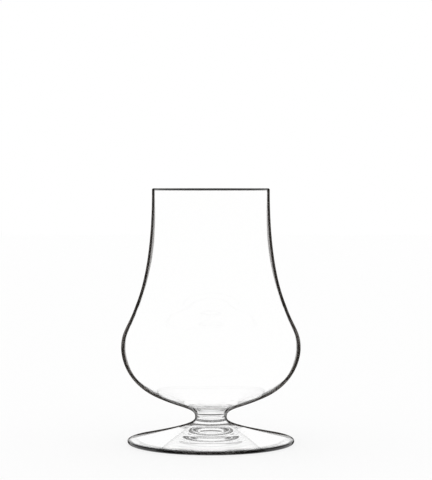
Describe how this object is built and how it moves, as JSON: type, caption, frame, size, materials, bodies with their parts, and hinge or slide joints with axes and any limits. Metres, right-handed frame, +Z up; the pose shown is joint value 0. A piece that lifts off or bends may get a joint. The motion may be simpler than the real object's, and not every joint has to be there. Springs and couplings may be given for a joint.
{
  "type": "tasting glass",
  "caption": "Clear stemmed tasting glass: a tall mouth flaring down to a round belly, on a short solid stem and a broad sloping foot, for nosing and sipping wine or spirits.",
  "frame": {"origin": "centre of the foot's bearing ring, on the surface the glass stands on", "axes": "+Z up the axis of the glass, towards the rim; X and Y are free, because the glass is round"},
  "size_m": [0.076, 0.076, 0.108],
  "materials": {
    "bowl_glass": "clear, fire-polished, thin blown wall",
    "stem_glass": "clear, fire-polished, solid",
    "foot_glass": "clear, pressed and fire-polished, bearing ring dulled by use"
  },
  "bodies": {
    "root": {"bowl": "bowl_glass", "stem": "stem_glass", "foot": "foot_glass"}
  },
  "joints": []
}
